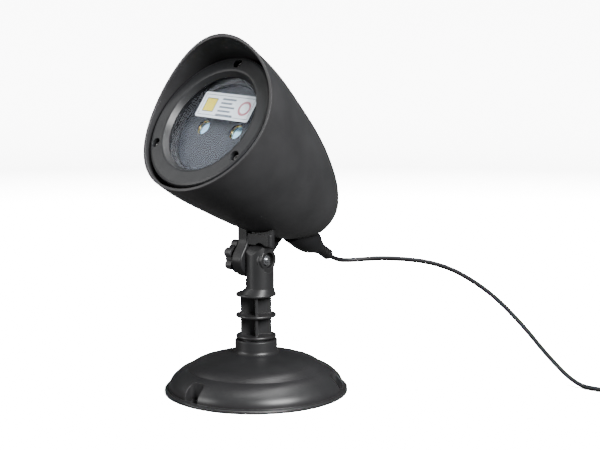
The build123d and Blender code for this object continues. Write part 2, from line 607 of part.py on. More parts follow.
base_group()
knob_group()
shell_group()
keep("bracket_arm", arm())
optics_group()
cord_group()
plug_group()

os.makedirs("parts", exist_ok=True)
for node, solid in PARTS.items():
    export_step(solid, f"parts/{node}.step")
print(len(PARTS), "nodes")
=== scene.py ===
"""Garden light projector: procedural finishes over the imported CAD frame, with its cord, label, stage and lights.

Sizes in the classes are millimetres, in the CAD model's frame; `mm` turns them into Blender's metres.
"""
import logging
import math
from abc import ABC, abstractmethod
from dataclasses import dataclass
from enum import Enum
from functools import lru_cache

import bmesh
import bpy
from mathutils import Matrix, Vector

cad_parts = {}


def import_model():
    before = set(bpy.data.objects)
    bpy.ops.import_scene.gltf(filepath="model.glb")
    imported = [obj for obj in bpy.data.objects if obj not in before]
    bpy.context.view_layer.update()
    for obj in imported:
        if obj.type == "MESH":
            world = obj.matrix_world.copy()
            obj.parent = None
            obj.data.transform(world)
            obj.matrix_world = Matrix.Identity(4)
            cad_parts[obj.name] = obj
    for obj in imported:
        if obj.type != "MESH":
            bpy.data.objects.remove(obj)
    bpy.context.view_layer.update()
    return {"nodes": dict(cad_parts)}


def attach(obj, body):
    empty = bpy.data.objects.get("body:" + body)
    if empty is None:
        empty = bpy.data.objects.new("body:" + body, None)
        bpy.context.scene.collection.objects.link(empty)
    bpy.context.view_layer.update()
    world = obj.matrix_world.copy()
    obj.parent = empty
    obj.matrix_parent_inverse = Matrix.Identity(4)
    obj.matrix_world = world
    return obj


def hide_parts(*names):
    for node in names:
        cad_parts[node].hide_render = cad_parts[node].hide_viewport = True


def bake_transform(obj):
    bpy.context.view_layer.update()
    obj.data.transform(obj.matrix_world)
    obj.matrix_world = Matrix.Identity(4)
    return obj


LOG = logging.getLogger("projector")
MM_PER_M = 1000.0
SMOOTH_UP_TO = 40.0     # degrees between faces that are still shaded as one
EDGE_SAMPLES = 6        # rays that round an edge
MOST = (0.3, 0.7)       # the stretch of grey that most of a noise lies in
Colour = tuple[float, float, float, float]
Point = tuple[float, float, float]
Pair = tuple[float, float]
Socket = bpy.types.NodeSocket
Material = bpy.types.Material
Piece = bpy.types.Object


def mm(value: float) -> float:
    """Millimetres as metres."""
    return value / MM_PER_M


def point(x: float, y: float, z: float) -> Vector:
    """A point given in millimetres, in metres."""
    return Vector((mm(x), mm(y), mm(z)))


def srgb(code: str) -> Colour:
    """Linear colour of an sRGB hex code.

    Args:
        code: six hex digits, such as "1a1b1c".

    Returns:
        Linear red, green, blue and an alpha of 1.
    """
    parts = [int(code[i:i + 2], 16) / 255 for i in (0, 2, 4)]
    red, green, blue = [c / 12.92 if c <= 0.04045 else ((c + 0.055) / 1.055) ** 2.4 for c in parts]
    return (red, green, blue, 1.0)


# ---------------------------------------------------------------- material graphs

class Space(Enum):
    """Coordinates that a pattern is laid in."""

    OBJECT = "Object"
    UV = "UV"


class Step(Enum):
    """Arithmetic that a Math or Vector Math node does."""

    ADD = "ADD"
    SUBTRACT = "SUBTRACT"
    MULTIPLY = "MULTIPLY"
    MAXIMUM = "MAXIMUM"
    WITHIN = "COMPARE"
    FRACTION = "FRACT"
    DISTANCE = "DISTANCE"
    DOT = "DOT_PRODUCT"
    SCALE = "SCALE"


# Where a Mix node that mixes colours takes its share and two colours, and how it is set.
SHARE, UNDER, OVER = 0, 6, 7
COLOURS = {"out": 2, "data_type": "RGBA"}


class Graph:
    """One material's node tree around its Principled shader."""

    def __init__(self, name: str) -> None:
        """Makes an empty procedural material.

        Args:
            name: the material's name.
        """
        self.material = bpy.data.materials.new(name)
        self.material.use_nodes = True
        self.tree = self.material.node_tree
        self.shader = self.tree.nodes["Principled BSDF"]
        self.output = self.tree.nodes["Material Output"]

    def fill(self, node: bpy.types.Node, inputs: dict | tuple) -> None:
        """Gives a node's inputs their values or links.

        Args:
            node: the node to fill.
            inputs: sockets and plain values, by input name or number, or in the inputs' order.
        """
        pairs = inputs.items() if isinstance(inputs, dict) else enumerate(inputs)
        for key, value in pairs:
            if isinstance(value, bpy.types.NodeSocket):
                self.tree.links.new(value, node.inputs[key])
            else:
                node.inputs[key].default_value = value

    def add(self, kind: str, inputs: dict | tuple = (), out: int | str = 0, **settings) -> Socket:
        """Adds one node.

        Args:
            kind: the node's type without its ShaderNode prefix.
            inputs: what goes into it, as `fill` takes it.
            out: which output to return.
            settings: attributes of the node; an Enum gives its value.

        Returns:
            The chosen output socket.
        """
        node = self.tree.nodes.new("ShaderNode" + kind)
        for key, value in settings.items():
            setattr(node, key, value.value if isinstance(value, Enum) else value)
        self.fill(node, inputs)
        return node.outputs[out]

    def grain(self, size: float, detail: float = 2.0, rough: float = 0.5, stretch: Point = (1.0, 1.0, 1.0)) -> Socket:
        """Noise of a real size on the object.

        Args:
            size: feature size in millimetres.
            detail: octaves of finer noise.
            rough: weight of the finer octaves.
            stretch: how many times longer the features are along each axis.

        Returns:
            The noise's grey value.
        """
        where = self.add("Mapping", {"Vector": self.add("TexCoord", out=Space.OBJECT.value),
                                     "Scale": tuple(1 / s for s in stretch)})
        return self.add("TexNoise", {"Vector": where, "Scale": MM_PER_M / size, "Detail": detail, "Roughness": rough})


class Finish(ABC):
    """A finish that makes one material."""

    @abstractmethod
    def build(self) -> Material:
        """The finished material."""


@lru_cache(maxsize=None)
def made(finish: Finish) -> Material:
    """A finish's material, built once."""
    return finish.build()


@dataclass(frozen=True)
class Moulded(Finish):
    """Moulded plastic, rubber or powder coat: fine grain, clouded gloss, and edges painted paler as wear and as a
    painted highlight.
    """

    name: str
    dark: str
    light: str
    gloss: Pair = (0.34, 0.46)
    grain: float = 0.35
    depth: float = 0.006
    cloud: float = 22.0
    edge: float = 0.5
    # How much paler the edges are painted: partly wear, partly a painted highlight along them.
    wear: float = 0.0
    sheen: float = 0.35
    stretch: Point = (1.0, 1.0, 1.0)
    # The edges' pale colour: wear and painted highlight.
    edge_wear_and_highlight_tone: str = "6a6a6c"
    speck_size: float = 2.6         # in grains
    smear_size: float = 0.4         # in clouds
    smear_fall: Point = (1.0, 1.0, 2.2)

    def build(self) -> Material:
        """The finished material."""
        g = Graph(self.name)
        cloud = g.grain(self.cloud, detail=3.0)
        fine = g.grain(self.grain, rough=0.6, stretch=self.stretch)
        speck = g.grain(self.grain * self.speck_size, detail=1.0)
        smear = g.grain(self.cloud * self.smear_size, detail=4.0, stretch=self.smear_fall)
        soft = g.add("Bevel", {"Radius": mm(self.edge)}, samples=EDGE_SAMPLES)
        clouded = g.add("MapRange", (cloud, *MOST, 0.0, 1.0))
        colour = g.add("Mix", {SHARE: clouded, UNDER: srgb(self.dark), OVER: srgb(self.light)}, **COLOURS)
        specks = g.add("MapRange", (speck, 0.5, 0.8, 0.0, 0.35))
        colour = g.add("Mix", {SHARE: specks, UNDER: colour, OVER: srgb(self.light)}, **COLOURS)
        # Edges painted paler: partly wear, partly a painted highlight where they catch the light.
        if self.wear:
            edge_wear_and_highlight = self.edge_wear_and_highlight(g, soft, speck)
            colour = g.add("Mix", {SHARE: edge_wear_and_highlight, UNDER: colour, OVER: srgb(self.edge_wear_and_highlight_tone)}, **COLOURS)
        g.fill(g.shader, {
            "Base Color": colour,
            "Roughness": g.add("MapRange", (smear, *MOST, *self.gloss)),
            "Normal": g.add("Bump", {"Height": fine, "Distance": mm(self.depth), "Strength": 1.0, "Normal": soft}),
            "Specular IOR Level": self.sheen,
        })
        return g.material

    def edge_wear_and_highlight(self, g: Graph, soft: Socket, speck: Socket) -> Socket:
        """Share that is high, in specks, where an edge turns: paler edges, partly wear and partly a painted
        highlight.

        Args:
            g: the material's graph.
            soft: the normal with rounded edges.
            speck: the grey value that breaks the wear up.

        Returns:
            The share of the pale edge colour, for wear and painted highlight.
        """
        flat = g.add("NewGeometry", out="Normal")
        turn = g.add("VectorMath", (soft, flat), out="Value", operation=Step.DOT)
        edge = g.add("MapRange", (turn, 0.8, 0.995, self.wear, 0.0))
        broken = g.add("MapRange", (speck, *MOST, 0.4, 1.0))
        return g.add("Math", (edge, broken), operation=Step.MULTIPLY)


@dataclass(frozen=True)
class Metal(Finish):
    """Plated, turned or milled metal with fine drag lines and faint tarnish."""

    name: str
    bright: str
    dull: str
    gloss: Pair = (0.18, 0.34)
    line: float = 0.12
    stretch: Point = (6.0, 1.0, 1.0)
    depth: float = 0.004
    cloud: float = 2.5
    edge: float = 0.2

    def build(self) -> Material:
        """The finished material."""
        g = Graph(self.name)
        lines = g.grain(self.line, stretch=self.stretch)
        cloud = g.grain(self.cloud, detail=4.0)
        tarnish = g.add("MapRange", (cloud, *MOST, 0.0, 1.0))
        soft = g.add("Bevel", {"Radius": mm(self.edge)}, samples=EDGE_SAMPLES)
        g.fill(g.shader, {
            "Base Color": g.add("Mix", {SHARE: tarnish, UNDER: srgb(self.bright), OVER: srgb(self.dull)}, **COLOURS),
            "Metallic": 1.0,
            "Roughness": g.add("MapRange", (cloud, *MOST, *self.gloss)),
            "Normal": g.add("Bump", {"Height": lines, "Distance": mm(self.depth), "Strength": 1.0, "Normal": soft}),
        })
        return g.material


@dataclass(frozen=True)
class Pane(Finish):
    """Clear coated glass that lets light through to what lies behind it."""

    name: str
    body: str = "f3f6f9"
    coat: str = "a9c4e8"
    gloss: Pair = (0.01, 0.03)
    dust: float = 1.4
    index: float = 1.14     # lower than bare glass, as the coating takes most of the reflection away

    def build(self) -> Material:
        """The finished material."""
        g = Graph(self.name)
        g.fill(g.shader, {
            "Base Color": srgb(self.body),
            "Roughness": g.add("MapRange", (g.grain(self.dust, detail=5.0), *MOST, *self.gloss)),
            "Transmission Weight": 1.0,
            "IOR": self.index,
            "Specular Tint": srgb(self.coat),
        })
        shadow = g.add("LightPath", out="Is Shadow Ray")
        diffuse = g.add("LightPath", out="Is Diffuse Ray")
        passes = g.add("Math", (shadow, diffuse), operation=Step.MAXIMUM)
        free = g.add("BsdfTransparent", {"Color": srgb(self.body)})
        mixed = g.add("MixShader", (passes, g.shader.outputs[0], free))
        g.tree.links.new(mixed, g.output.inputs["Surface"])
        return g.material


@dataclass(frozen=True)
class Painted(Finish):
    """Thick textured paint, with a fine pebble and darker pits."""

    name: str
    low: str
    high: str
    pebble: float = 0.8
    fleck: float = 1.36
    depth: float = 0.05
    edge: float = 0.3
    gloss: Pair = (0.4, 0.6)

    def build(self) -> Material:
        """The finished material."""
        g = Graph(self.name)
        where = g.add("TexCoord", out=Space.OBJECT.value)
        cells = g.add("TexVoronoi", {"Vector": where, "Scale": MM_PER_M / self.pebble}, feature="SMOOTH_F1")
        fleck = g.grain(self.fleck, detail=3.0)
        pits = g.add("MapRange", (fleck, 0.38, 0.62, 0.0, 1.0))
        soft = g.add("Bevel", {"Radius": mm(self.edge)}, samples=EDGE_SAMPLES)
        g.fill(g.shader, {
            "Base Color": g.add("Mix", {SHARE: pits, UNDER: srgb(self.low), OVER: srgb(self.high)}, **COLOURS),
            "Roughness": g.add("MapRange", (fleck, *MOST, *self.gloss)),
            "Normal": g.add("Bump", {"Height": cells, "Distance": mm(self.depth), "Strength": 1.0, "Normal": soft}),
        })
        return g.material


@dataclass(frozen=True)
class Grating(Finish):
    """Ruled film that splits light into faint colours, ruled coarser than a real one so that it shows."""

    name: str
    pitch: float = 0.4
    bands: float = 6.3      # bands that a wave texture of scale 1 draws in a metre
    depth: float = 0.004
    saturation: float = 0.55
    brightness: float = 0.85

    def build(self) -> Material:
        """The finished material."""
        g = Graph(self.name)
        facing = g.add("LayerWeight", {"Blend": 0.4}, out="Facing")
        where = g.add("TexCoord", out=Space.OBJECT.value)
        band = g.add("TexWave", {"Vector": where, "Scale": MM_PER_M / self.pitch / self.bands, "Distortion": 0.4})
        sweeping = g.add("Math", (facing, 1.6), operation=Step.MULTIPLY)
        ruled = g.add("Math", (band, 0.12), operation=Step.MULTIPLY)
        hue = g.add("Math", (g.add("Math", (sweeping, ruled), operation=Step.ADD),), operation=Step.FRACTION)
        g.fill(g.shader, {
            "Base Color": g.add("CombineColor", (hue, self.saturation, self.brightness), mode="HSV"),
            "Metallic": 0.75,
            "Roughness": 0.16,
            "Normal": g.add("Bump", {"Height": band, "Distance": mm(self.depth), "Strength": 1.0}),
        })
        return g.material


@dataclass(frozen=True)
class Print(Finish):
    """White film printed with plain shapes: a frame, a square patch, rows of bars and a ring, with no lettering.

    Its UV map is in millimetres from the label's lower left corner. Fields from `patch` on are in label heights,
    and the rest are in millimetres.
    """

    name: str
    width: float
    height: float
    film: str = "eeeff0"
    cloud: str = "e2e3e5"
    ink: str = "6f7479"
    patch_edge_ink: str = "3a3a2c"
    patch_ink: str = "e8cf2a"
    ring_ink: str = "b5777c"
    margin: float = 2.1
    frame_half: float = 0.22
    rows: int = 5
    patch: float = 0.24
    patch_edge: float = 0.27
    rows_from: float = 0.11
    rows_high: float = 0.78
    bar_share: float = 0.46         # of a row
    bars_from: float = 0.98
    bars_clear: float = 0.82        # left free for the ring
    ring_at: float = 0.42           # from the right end
    ring: float = 0.24
    ring_half: float = 0.045
    ragged: float = 0.12            # most that a bar falls short, in label widths

    def build(self) -> Material:
        """The finished material."""
        g = Graph(self.name)
        uv = g.add("TexCoord", out=Space.UV.value)
        fibre = g.grain(0.5, detail=3.0)
        clouded = g.add("MapRange", (fibre, *MOST, 0.0, 0.4))
        colour = g.add("Mix", {SHARE: clouded, UNDER: srgb(self.film), OVER: srgb(self.cloud)}, **COLOURS)
        for share, ink in self.layers(g, uv):
            colour = g.add("Mix", {SHARE: share, UNDER: colour, OVER: srgb(ink)}, **COLOURS)
        g.fill(g.shader, {
            "Base Color": colour,
            "Roughness": g.add("MapRange", (fibre, *MOST, 0.35, 0.5)),
            "Normal": g.add("Bump", {"Height": fibre, "Distance": mm(0.006), "Strength": 1.0}),
        })
        return g.material

    def layers(self, g: Graph, uv: Socket) -> list[tuple[Socket, str]]:
        """The printed shapes from the first ink to the last.

        Args:
            g: the material's graph.
            uv: the label's coordinates.

        Returns:
            Each shape's share and its ink.
        """
        wide, high = self.width / 2, self.height / 2
        out, inn = self.margin - self.frame_half, self.margin + self.frame_half
        outer = self.block(g, uv, (wide, high), (wide - out, high - out))
        inner = self.block(g, uv, (wide, high), (wide - inn, high - inn))
        shapes = [(g.add("Math", (outer, inner), operation=Step.SUBTRACT), self.ink)]
        for half, ink in ((self.patch_edge, self.patch_edge_ink), (self.patch, self.patch_ink)):
            shapes.append((self.block(g, uv, (high, high), (half * self.height, half * self.height)), ink))
        pitch = self.height * self.rows_high / self.rows
        for row in range(self.rows):
            short = self.width * self.ragged * (row * 0.618 % 1.0)
            left, right = self.height * self.bars_from, self.width - self.height * self.bars_clear - short
            half = pitch * self.bar_share / 2
            middle = ((left + right) / 2, self.height * self.rows_from + pitch * row + half)
            shapes.append((self.block(g, uv, middle, ((right - left) / 2, half)), self.ink))
        centre = (self.width - self.height * self.ring_at, high, 0.0)
        far = g.add("VectorMath", (uv, centre), out="Value", operation=Step.DISTANCE)
        ring = g.add("Math", (far, self.height * self.ring, self.height * self.ring_half), operation=Step.WITHIN)
        return shapes + [(ring, self.ring_ink)]

    def block(self, g: Graph, uv: Socket, middle: Pair, half: Pair) -> Socket:
        """Share that is 1 inside a rectangle.

        Args:
            g: the material's graph.
            uv: the label's coordinates.
            middle: the rectangle's middle.
            half: half its width and half its height.

        Returns:
            The share.
        """
        split = g.tree.nodes.new("ShaderNodeSeparateXYZ")
        g.fill(split, (uv,))
        across = g.add("Math", (split.outputs[0], middle[0], half[0]), operation=Step.WITHIN)
        along = g.add("Math", (split.outputs[1], middle[1], half[1]), operation=Step.WITHIN)
        return g.add("Math", (across, along), operation=Step.MULTIPLY)


# ---------------------------------------------------------------- the finishes

# ABS from a polished tool: satin, with broad soft highlights, and edges painted paler as handling wear and as a
# painted highlight.
BASE_ABS = Moulded("abs_satin_base", "19191a", "1f1f20", gloss=(0.36, 0.42), grain=0.5, depth=0.004, wear=0.15)
# ABS from a spark-eroded tool: an even, slow sheen with a fine grain in it.
SHELL_ABS = Moulded("abs_eroded_shell", "212122", "282829", gloss=(0.40, 0.47), grain=0.45, depth=0.010, wear=0.2,
                    edge=0.6)
# The same ABS, deep and matt, so the outlet stays darker than the shell beside it.
OUTLET_ABS = Moulded("abs_matt_outlet", "121213", "18181a", gloss=(0.42, 0.5), grain=0.4, depth=0.008, sheen=0.2)
# ABS from a finer tool: the flat ring throws back one even grey.
BEZEL_ABS = Moulded("abs_satin_bezel", "17181a", "1f2021", gloss=(0.36, 0.44), grain=0.4, depth=0.006, edge=0.4,
                    wear=0.2)
# Glass-filled nylon: a slightly greyer black, its lobe edges painted pale as wear and as a painted highlight.
KNOB_NYLON = Moulded("nylon_knob", "242425", "303031", gloss=(0.34, 0.44), wear=0.3)
# Powder coat on cast metal: orange-peel ripple under a soft gloss.
ARM_POWDER_COAT = Moulded("powder_coated_arm", "141415", "1b1b1c", gloss=(0.36, 0.46), grain=0.6, depth=0.02,
                          wear=0.3, sheen=0.25, stretch=(1.0, 1.0, 5.0))
# Carbon-filled ABS inside the lamp: nearly black, so the plate seems to float in it.
HOUSING_ABS = Moulded("abs_black_housing", "0a0a0b", "101011", gloss=(0.4, 0.5), depth=0.01, sheen=0.25)
# Nitrile rubber: dull all over.
SEAL_RUBBER = Moulded("nitrile_seal", "101010", "161616", gloss=(0.55, 0.7), sheen=0.2)
# Soft PVC moulded over the cord: a faint bloom on a dark skin.
BOOT_PVC = Moulded("pvc_boot", "0f0f10", "161617", gloss=(0.42, 0.55), grain=0.3, depth=0.008, edge=0.25, sheen=0.25)
# Pressed fibre: dry and brown, with no highlight.
WASHER_FIBRE = Moulded("pressed_fibre", "3b3630", "4a443c", gloss=(0.6, 0.8), grain=0.25, depth=0.02)
# Solder mask over woven glass: glossy green.
BOARD_MASK = Moulded("solder_mask", "0f4a22", "16602d", gloss=(0.18, 0.3), grain=1.2, depth=0.01, edge=0.1)
# Moulded epoxy: dull charcoal cases.
CHIP_EPOXY = Moulded("moulded_epoxy", "161616", "26272a", gloss=(0.4, 0.6), edge=0.1)
# Soft PVC sheath: a thin line of light along a dark round.
SHEATH_PVC = Moulded("pvc_cord_sheath", "0d0d0e", "131314", gloss=(0.42, 0.5), grain=0.3, depth=0.006, edge=0.1,
                     sheen=0.2)
# Polythene ribbon: milky white.
TIE_POLYTHENE = Moulded("polythene_tie", "d8d8d6", "c8c8c6", gloss=(0.4, 0.6), grain=0.3, edge=0.1)
# Zinc-plated steel: pale grey with a broken, cloudy shine.
ZINC_STEEL = Metal("zinc_plated_steel", "c4c6c8", "9a9da1", gloss=(0.24, 0.38))
# Nickel-plated steel that has dulled: a small soft glint in each recess.
NICKEL_STEEL = Metal("nickel_plated_steel", "a8a8a7", "828382", gloss=(0.28, 0.42), stretch=(1.0, 4.0, 1.0))
# Nickel-plated brass, new: bright, with sharp reflections.
PLUG_NICKEL = Metal("nickel_plated_plug", "e2e2e4", "c3c4c8", gloss=(0.1, 0.2))
# Turned brass: warm, with fine rings from the tool.
BARREL_BRASS = Metal("turned_brass", "d9b566", "b08a3e", gloss=(0.2, 0.34))
# Gold flash on a steel can: pale yellow and bright.
DIODE_GOLD = Metal("gold_flashed_can", "dac58c", "b6a069", gloss=(0.15, 0.25))
# Milled aluminium: a silver grey with long cutter lines.
SINK_ALUMINIUM = Metal("milled_aluminium", "cfd1d5", "a7abb1", gloss=(0.3, 0.45), stretch=(8.0, 1.0, 1.0))
# Coated float glass: clear, with a faint blue where it reflects.
WINDOW_GLASS = Pane("coated_float_glass")
# Coated optical glass: a cyan flash over the barrel's mouth.
LENS_GLASS = Pane("coated_lens_glass", body="bfeef2", coat="7fe0ff")
# Textured enamel: blue-grey with a fine sparkle of pits.
PLATE_ENAMEL = Painted("textured_enamel", "17181c", "2e3037")
# Ruled acetate film: rainbow tints that change as it tilts.
GRATING_ACETATE = Grating("ruled_acetate")


class SubAssembly(ABC):
    """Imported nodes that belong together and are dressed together."""

    @abstractmethod
    def finishes(self) -> dict[Finish, tuple[str, ...]]:
        """Each finish and the nodes that wear it."""

    def dress(self, nodes: dict[str, Piece]) -> None:
        """Gives the sub-assembly's nodes their materials.

        Args:
            nodes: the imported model's objects by name.
        """
        for finish, names in self.finishes().items():
            material = made(finish)
            for name in names:
                nodes[name].data.materials.clear()
                nodes[name].data.materials.append(material)
                LOG.info("%s wears %s", name, material.name)


class Stand(SubAssembly):
    """The round base and its post."""

    def finishes(self) -> dict[Finish, tuple[str, ...]]:
        """Each finish and the nodes that wear it."""
        return {BASE_ABS: ("base_dish", "post"), ZINC_STEEL: ("post_washer",), NICKEL_STEEL: ("post_screw",)}


class Clamp(SubAssembly):
    """The knob, bolt and nut that hold the head's tilt."""

    def finishes(self) -> dict[Finish, tuple[str, ...]]:
        """Each finish and the nodes that wear it."""
        return {KNOB_NYLON: ("clamp_knob",), ZINC_STEEL: ("clamp_nut", "clamp_bolt", "knob_washer"),
                WASHER_FIBRE: ("friction_washer",)}


class Head(SubAssembly):
    """The shell with its glass front, bracket and cable outlet."""

    def finishes(self) -> dict[Finish, tuple[str, ...]]:
        """Each finish and the nodes that wear it."""
        return {
            SHELL_ABS: ("shell",),
            OUTLET_ABS: ("cable_outlet",),
            BEZEL_ABS: ("bezel",),
            ARM_POWDER_COAT: ("bracket_arm",),
            HOUSING_ABS: ("lamp_housing",),
            SEAL_RUBBER: ("window_seal", "outlet_grommet"),
            BOOT_PVC: ("cord_boot",),
            NICKEL_STEEL: ("bezel_screws", "arm_screws"),
            WINDOW_GLASS: ("window",),
        }


class LightEngine(SubAssembly):
    """The front plate, the two laser barrels and the board behind them."""

    def finishes(self) -> dict[Finish, tuple[str, ...]]:
        """Each finish and the nodes that wear it."""
        return {
            PLATE_ENAMEL: ("front_plate",),
            BARREL_BRASS: ("laser_barrel_red", "laser_barrel_green"),
            LENS_GLASS: ("laser_lens_red", "laser_lens_green"),
            GRATING_ACETATE: ("grating_red", "grating_green"),
            DIODE_GOLD: ("laser_diode_red", "laser_diode_green"),
            SINK_ALUMINIUM: ("heat_sink",),
            BOARD_MASK: ("circuit_board",),
            CHIP_EPOXY: ("board_parts",),
            HOUSING_ABS: ("board_pillars",),
            NICKEL_STEEL: ("grub_screws", "board_screws"),
        }


class Plug(SubAssembly):
    """The barrel plug on the cord's far end."""

    def finishes(self) -> dict[Finish, tuple[str, ...]]:
        """Each finish and the nodes that wear it."""
        return {BOOT_PVC: ("plug_body",), PLUG_NICKEL: ("plug_barrel",)}


# ---------------------------------------------------------------- mesh helpers

def new_piece(name: str, shape: bmesh.types.BMesh, material: Material, smooth: bool = True) -> Piece:
    """Turns a bmesh into a shown piece.

    Args:
        name: the piece's name.
        shape: the geometry, in metres; it is freed.
        material: its only material.
        smooth: whether its faces are shaded as one, up to the angle SMOOTH_UP_TO.

    Returns:
        The linked object.
    """
    bmesh.ops.recalc_face_normals(shape, faces=shape.faces)
    mesh = bpy.data.meshes.new(name)
    shape.to_mesh(mesh)
    shape.free()
    mesh.materials.append(material)
    piece = bpy.data.objects.new(name, mesh)
    bpy.context.scene.collection.objects.link(piece)
    if smooth:
        mesh.shade_smooth()
        mesh.set_sharp_from_angle(angle=math.radians(SMOOTH_UP_TO))
    LOG.info("%s has %d faces", name, len(mesh.polygons))
    return piece


def sweep(section: list[Pair], line: list[Vector], twist: float = 0.0,
          up: Vector | None = None, closed: bool = False) -> bmesh.types.BMesh:
    """Sweeps a closed section along a line with frames that don't spin.

    Args:
        section: the section's corners, in millimetres, in the plane across the line.
        line: the centre line, in metres.
        twist: turns that the section makes from start to end.
        up: the direction of the section's second axis at the start.
        closed: whether the line comes back to its start.

    Returns:
        The swept shape, capped at its ends if the line is open.
    """
    shape = bmesh.new()
    count = len(line)
    normal = Vector(up) if up is not None else Vector((0.0, 0.0, 1.0))
    rings = []
    for i, here in enumerate(line):
        before = line[(i - 1) % count] if closed or i else here
        after = line[(i + 1) % count] if closed or i < count - 1 else here
        along = (after - before).normalized()
        normal = (normal - along * normal.dot(along)).normalized()
        side = along.cross(normal)
        turn = 2 * math.pi * twist * i / count
        one = side * math.cos(turn) + normal * math.sin(turn)
        two = normal * math.cos(turn) - side * math.sin(turn)
        rings.append([shape.verts.new(here + one * mm(a) + two * mm(b)) for a, b in section])
    pairs = list(zip(rings, rings[1:])) + ([(rings[-1], rings[0])] if closed else [])
    for low, high in pairs:
        for k in range(len(section)):
            j = (k + 1) % len(section)
            shape.faces.new((low[k], low[j], high[j], high[k]))
    if not closed:
        shape.faces.new(rings[0])
        shape.faces.new(reversed(rings[-1]))
    return shape


def round_section(radius: float, sides: int) -> list[Pair]:
    """Corners of a circle of a radius in millimetres."""
    return [(radius * math.cos(2 * math.pi * k / sides), radius * math.sin(2 * math.pi * k / sides))
            for k in range(sides)]


def settle(piece: Piece, body: str, slot: str, *stands_for: str) -> None:
    """Settles a new piece in the model.

    Args:
        piece: the new piece.
        body: the body that it rides on.
        slot: a material slot's name; not used.
        stands_for: the CAD nodes that it replaces, if any.
    """
    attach(piece, body)
    if stands_for:
        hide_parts(*stands_for)


# ---------------------------------------------------------------- the cord

